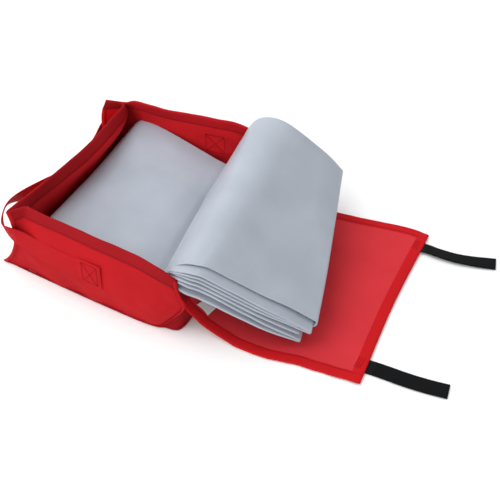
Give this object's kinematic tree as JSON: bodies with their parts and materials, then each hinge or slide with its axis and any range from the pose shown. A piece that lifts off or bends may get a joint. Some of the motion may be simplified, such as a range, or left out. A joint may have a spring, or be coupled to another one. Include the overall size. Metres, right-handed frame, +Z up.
{
  "type": "fire blanket in open carry bag",
  "caption": "Folded silicone-coated glass-cloth fire blanket in a soft box bag with hinged lid flap, carry handle and hook-tape closing straps.",
  "frame": {"origin": "centre of the bag's base, on the surface it stands on", "axes": "+X from the handle end towards the open lid, +Y towards the back wall, +Z up"},
  "size_m": [0.6972, 0.3549, 0.1512],
  "materials": {
    "bag_cloth": "coated red woven nylon, soft sheen",
    "bag_hem": "turned hem of the red cloth",
    "lid_lining": "uncoated inner face of the red cloth",
    "webbing": "woven polyester webbing",
    "thread": "sewing thread",
    "glass_cloth": "silicone-coated glass cloth, satin",
    "hook_tape": "black hook-and-loop tape",
    "label": "blank white satin label"
  },
  "bodies": {
    "bag": {"base_panel": "bag_cloth", "base_binding": "bag_hem", "front_wall": "bag_cloth", "back_wall": "bag_cloth", "handle_end_wall": "bag_cloth", "lid_end_wall": "bag_cloth", "front_hem": "bag_hem", "back_hem": "bag_hem", "handle_end_hem": "bag_hem", "lid_hinge_binding": "bag_hem", "front_handle_corner_seam": "bag_cloth", "back_handle_corner_seam": "bag_cloth", "front_lid_corner_seam": "bag_cloth", "back_lid_corner_seam": "bag_cloth", "loop_pad_front": "hook_tape", "loop_pad_back": "hook_tape", "handle_tab_front": "webbing", "handle_tab_back": "webbing", "handle_stitching_front": "thread", "handle_stitching_back": "thread", "blanket_lower_layer_1": "glass_cloth", "blanket_lower_layer_2": "glass_cloth", "blanket_lower_layer_3": "glass_cloth", "blanket_lower_layer_4": "glass_cloth"},
    "handle": {"handle_strap": "webbing"},
    "blanket_inner": {"blanket_flip_inner_1": "glass_cloth", "blanket_flip_inner_2": "glass_cloth", "blanket_flip_inner_3": "glass_cloth"},
    "blanket_outer": {"blanket_flip_outer_1": "glass_cloth", "blanket_flip_outer_2": "glass_cloth", "blanket_flip_outer_3": "glass_cloth"},
    "lid_inner": {"lid_inner_panel": "lid_lining", "lid_inner_hem_front": "bag_hem", "lid_inner_hem_back": "bag_hem", "care_label": "label"},
    "lid_outer": {"lid_outer_panel": "lid_lining", "lid_outer_hem_front": "bag_hem", "lid_outer_hem_back": "bag_hem", "lid_free_edge_hem": "bag_hem", "strap_stitching_front": "thread", "strap_stitching_back": "thread"},
    "strap_front": {"closing_strap_front": "hook_tape", "strap_hook_face_front": "hook_tape"},
    "strap_back": {"closing_strap_back": "hook_tape", "strap_hook_face_back": "hook_tape"}
  },
  "joints": [
    {"name": "blanket_fold", "type": "hinge", "parent": "bag", "child": "blanket_inner", "pos_m": [0.13, 0, 0.1125], "axis": [0.0785, -0.9969, 0], "range_deg": [0, 180]},
    {"name": "blanket_bend", "type": "hinge", "parent": "blanket_inner", "child": "blanket_outer", "pos_m": [0.165, 0, 0.1185], "axis": [0, -1, 0], "range_deg": [0, 36]},
    {"name": "lid_fold", "type": "hinge", "parent": "bag", "child": "lid_inner", "pos_m": [0.153, 0, 0.112], "axis": [0.0262, -0.9997, 0], "range_deg": [0, 230.6]},
    {"name": "lid_bend", "type": "hinge", "parent": "lid_inner", "child": "lid_outer", "pos_m": [0.21672, 0.00167, 0.001], "axis": [0.0262, -0.9997, 0], "range_deg": [-50.6, 0]},
    {"name": "strap_front_fold", "type": "hinge", "parent": "lid_outer", "child": "strap_front", "pos_m": [0.41364, -0.11283, 0.001], "axis": [0.0523, -0.9986, 0], "range_deg": [0, 96]},
    {"name": "strap_back_fold", "type": "hinge", "parent": "lid_outer", "child": "strap_back", "pos_m": [0.40024, 0.14282, 0.001], "axis": [0.0523, -0.9986, 0], "range_deg": [0, 96]},
    {"name": "handle_swing", "type": "hinge", "parent": "bag", "child": "handle", "pos_m": [-0.026, 0, 0.066], "axis": [0, 1, 0], "range_deg": [0, 4]}
  ],
  "couplings": [
    {"joint": "blanket_bend", "follows": "blanket_fold", "ratio": 0.2},
    {"joint": "lid_fold", "follows": "blanket_fold", "ratio": 1.2811},
    {"joint": "lid_bend", "follows": "blanket_fold", "ratio": -0.28111}
  ]
}
